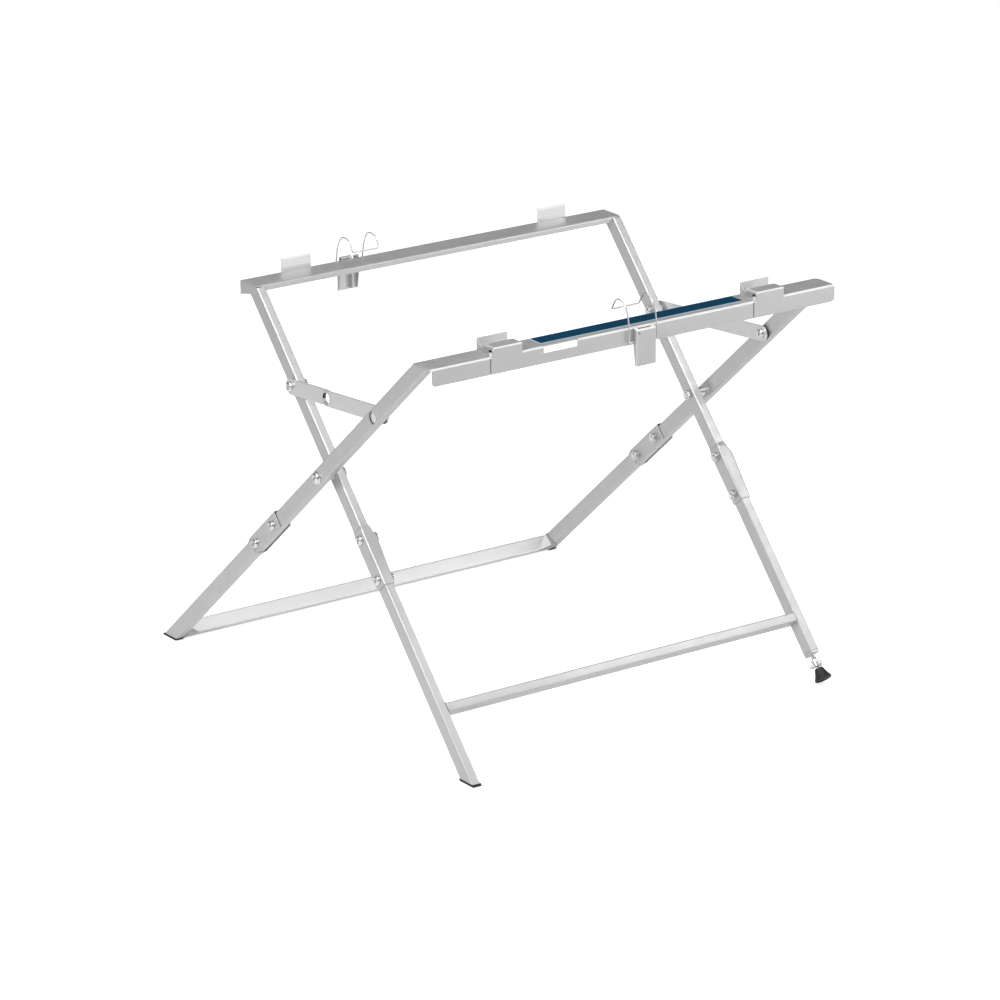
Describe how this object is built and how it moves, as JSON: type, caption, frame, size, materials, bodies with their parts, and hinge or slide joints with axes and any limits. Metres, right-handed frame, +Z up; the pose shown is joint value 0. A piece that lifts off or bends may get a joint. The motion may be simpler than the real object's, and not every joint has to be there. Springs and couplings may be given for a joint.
{
  "type": "bench saw stand",
  "caption": "Folding X-frame steel stand for a bench saw, with saw brackets, swinging wire clips, knee braces and a levelling foot.",
  "frame": {"origin": "on the floor, in the middle of the feet from front to back and midway between the sides", "axes": "+X along the rails to the side with the levelling foot, +Y from the front rail to the back rail, +Z up"},
  "size_m": [0.7185, 0.7682, 0.6333],
  "materials": {
    "frame_paint": "satin silver grey",
    "zinc_fasteners": "bright zinc",
    "spring_wire": "polished",
    "black_rubber": "matt",
    "black_plastic": "matt",
    "blue_label": "satin film"
  },
  "bodies": {
    "front_frame": {"front_rail": "frame_paint", "rail_label": "blue_label", "saw_bracket_left": "frame_paint", "saw_bracket_right": "frame_paint", "front_clip_bracket": "frame_paint", "front_rail_leg_left": "frame_paint", "front_rail_leg_right": "frame_paint", "rear_foot_leg_left": "frame_paint", "rear_foot_leg_right": "frame_paint", "rear_floor_bar": "frame_paint", "floor_bar_gusset_left": "frame_paint", "floor_bar_gusset_right": "frame_paint", "rear_foot_pad_left": "black_rubber", "rear_foot_pad_right": "black_rubber", "front_splice_bolts": "zinc_fasteners", "front_splice_nuts": "zinc_fasteners", "main_pivot_bolts": "zinc_fasteners", "main_pivot_spacers": "zinc_fasteners", "main_pivot_nuts": "zinc_fasteners", "brace_front_washers": "black_plastic", "brace_front_bolts": "zinc_fasteners"},
    "back_frame": {"back_rail": "frame_paint", "back_clip_bracket": "frame_paint", "back_tab_left": "frame_paint", "back_tab_right": "frame_paint", "back_rail_leg_left": "frame_paint", "back_rail_leg_right": "frame_paint", "front_foot_leg_left": "frame_paint", "front_foot_leg_right": "frame_paint", "front_foot_bar": "frame_paint", "front_foot_pad": "black_rubber", "leg_end_plug": "zinc_fasteners", "back_splice_bolts": "zinc_fasteners", "back_splice_nuts": "zinc_fasteners", "brace_back_spacers": "zinc_fasteners", "brace_back_bolts": "zinc_fasteners", "brace_back_nuts": "zinc_fasteners"},
    "front_clip": {"front_wire_clip": "spring_wire"},
    "back_clip": {"back_wire_clip": "spring_wire"},
    "long_bar_left": {"brace_long_bar_left": "frame_paint", "knee_eyelet_outer_left": "zinc_fasteners"},
    "long_bar_right": {"brace_long_bar_right": "frame_paint", "knee_eyelet_outer_right": "zinc_fasteners"},
    "short_bar_left": {"brace_short_bar_left": "frame_paint", "knee_eyelet_inner_left": "zinc_fasteners"},
    "short_bar_right": {"brace_short_bar_right": "frame_paint", "knee_eyelet_inner_right": "zinc_fasteners"},
    "levelling_foot": {"levelling_stud": "zinc_fasteners", "levelling_rubber_foot": "black_rubber"},
    "lock_nut": {"levelling_lock_nut": "zinc_fasteners"}
  },
  "joints": [
    {"name": "scissor_fold", "type": "hinge", "parent": "front_frame", "child": "back_frame", "pos_m": [0, -0.04118, 0.3635], "axis": [1, 0, 0], "range_deg": [0, 78]},
    {"name": "front_clip_swing", "type": "hinge", "parent": "front_frame", "child": "front_clip", "pos_m": [0.0065, -0.32678, 0.5735], "axis": [1, 0, 0], "range_deg": [0, 100]},
    {"name": "back_clip_swing", "type": "hinge", "parent": "back_frame", "child": "back_clip", "pos_m": [-0.1355, 0.19842, 0.5735], "axis": [-1, 0, 0], "range_deg": [0, 100]},
    {"name": "long_bar_swing_left", "type": "hinge", "parent": "front_frame", "child": "long_bar_left", "pos_m": [-0.3336, -0.182, 0.4894], "axis": [-1, 0, 0], "range_deg": [0, 36]},
    {"name": "short_bar_swing_left", "type": "hinge", "parent": "back_frame", "child": "short_bar_left", "pos_m": [-0.3336, 0.05456, 0.47021], "axis": [1, 0, 0], "range_deg": [0, 51]},
    {"name": "long_bar_swing_right", "type": "hinge", "parent": "front_frame", "child": "long_bar_right", "pos_m": [0.3336, -0.182, 0.4894], "axis": [-1, 0, 0], "range_deg": [0, 36]},
    {"name": "short_bar_swing_right", "type": "hinge", "parent": "back_frame", "child": "short_bar_right", "pos_m": [0.3336, 0.05456, 0.47021], "axis": [1, 0, 0], "range_deg": [0, 51]},
    {"name": "levelling_screw", "type": "slide", "parent": "back_frame", "child": "levelling_foot", "axis": [0, -0.6678, -0.7443], "range_m": [-0.008, 0.01]},
    {"name": "lock_nut_turn", "type": "hinge", "parent": "levelling_foot", "child": "lock_nut", "pos_m": [0.3182, -0.34204, 0.02819], "axis": [0, -0.6678, -0.7443], "continuous": true}
  ],
  "couplings": [
    {"joint": "long_bar_swing_left", "follows": "scissor_fold", "ratio": 0.4494},
    {"joint": "short_bar_swing_left", "follows": "scissor_fold", "ratio": 0.6387},
    {"joint": "long_bar_swing_right", "follows": "scissor_fold", "ratio": 0.4494},
    {"joint": "short_bar_swing_right", "follows": "scissor_fold", "ratio": 0.6387}
  ]
}
